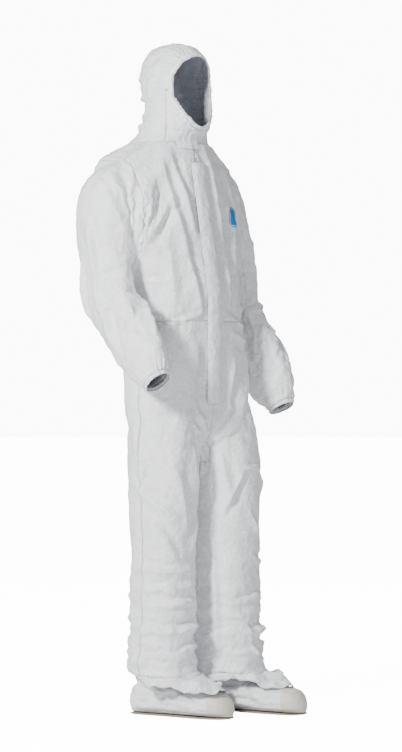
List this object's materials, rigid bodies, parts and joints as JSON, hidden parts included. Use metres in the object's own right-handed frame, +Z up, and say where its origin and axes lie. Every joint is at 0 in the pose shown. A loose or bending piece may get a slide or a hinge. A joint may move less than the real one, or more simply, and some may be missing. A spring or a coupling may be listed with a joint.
{
  "type": "chemical protective suit",
  "caption": "Hooded white protective coverall with attached boots, elasticated face opening and cuffs, and a front zip under a storm flap.",
  "frame": {"origin": "bottom centre of the suit's bounding box as it stands on its soles", "axes": "+Z up; the wearer faces -Y and the wearer's left is +X"},
  "size_m": [0.6204, 0.4782, 1.843],
  "materials": {
    "suit_cloth": "spunbonded polyethylene nonwoven, softly shiny, crinkled",
    "trim_cloth": "folded and sewn nonwoven",
    "covered_elastic": "cotton-covered rubber elastic",
    "zip_tape": "woven polyester tape",
    "nylon_coil": "moulded nylon",
    "zip_metal": "die-cast and plated",
    "vinyl_sole": "skid-resistant vinyl",
    "printed_badge": "printed nonwoven patch, blank"
  },
  "bodies": {
    "suit": {"chest_badge": "printed_badge", "crotch_gusset": "suit_cloth", "left_back_bodice": "suit_cloth", "left_back_trouser": "suit_cloth", "left_boot_elastic": "covered_elastic", "left_boot_sole": "vinyl_sole", "left_boot_top_hem": "trim_cloth", "left_boot_upper": "suit_cloth", "left_front_bodice": "suit_cloth", "left_front_trouser": "suit_cloth", "left_toe_cap": "vinyl_sole", "left_trouser_hem": "suit_cloth", "neck_binding": "trim_cloth", "right_back_bodice": "suit_cloth", "right_back_trouser": "suit_cloth", "right_boot_elastic": "covered_elastic", "right_boot_sole": "vinyl_sole", "right_boot_top_hem": "trim_cloth", "right_boot_upper": "suit_cloth", "right_front_bodice": "suit_cloth", "right_front_trouser": "suit_cloth", "right_toe_cap": "vinyl_sole", "right_trouser_hem": "suit_cloth", "size_label": "trim_cloth", "storm_flap_lower": "suit_cloth", "waist_elastic": "covered_elastic", "zip_bottom_stop": "zip_metal", "zip_left_coil": "nylon_coil", "zip_left_tape": "zip_tape", "zip_left_top_stop": "zip_metal", "zip_right_coil": "nylon_coil", "zip_right_tape": "zip_tape", "zip_right_top_stop": "zip_metal"},
    "hood": {"chin_flap": "suit_cloth", "face_elastic": "covered_elastic", "face_hem": "trim_cloth", "hood_crown_strip": "suit_cloth", "hood_left_cheek": "suit_cloth", "hood_left_side": "suit_cloth", "hood_right_cheek": "suit_cloth", "hood_right_side": "suit_cloth"},
    "right_arm": {"right_sleeve": "suit_cloth", "right_cuff_hem": "trim_cloth", "right_wrist_elastic": "covered_elastic"},
    "left_arm": {"left_sleeve": "suit_cloth", "left_cuff_hem": "trim_cloth", "left_wrist_elastic": "covered_elastic"},
    "slider": {"zip_slider": "zip_metal"},
    "pull": {"zip_pull": "zip_metal"},
    "flap": {"storm_flap_upper": "suit_cloth"}
  },
  "joints": [
    {"name": "zip_slide", "type": "slide", "parent": "suit", "child": "slider", "axis": [0, -0.1841, -0.9829], "range_m": [0, 0.36]},
    {"name": "pull_swing", "type": "hinge", "parent": "slider", "child": "pull", "pos_m": [-0.01117, 0.00314, 1.53252], "axis": [-1, 0, 0], "range_deg": [0, 170]},
    {"name": "storm_flap_open", "type": "hinge", "parent": "suit", "child": "flap", "pos_m": [0.01583, -0.03309, 1.33022], "axis": [0, 0.1841, 0.9829], "range_deg": [0, 120]},
    {"name": "hood_tilt", "type": "hinge", "parent": "suit", "child": "hood", "pos_m": [-0.01117, 0.21237, 1.5684], "axis": [-1, 0, 0], "range_deg": [0, 20]},
    {"name": "right_sleeve_swing", "type": "hinge", "parent": "suit", "child": "right_arm", "pos_m": [-0.20117, 0.12437, 1.392], "axis": [-1, 0, 0], "range_deg": [-10, 25]},
    {"name": "left_sleeve_swing", "type": "hinge", "parent": "suit", "child": "left_arm", "pos_m": [0.17883, 0.12437, 1.392], "axis": [-1, 0, 0], "range_deg": [-10, 25]}
  ]
}
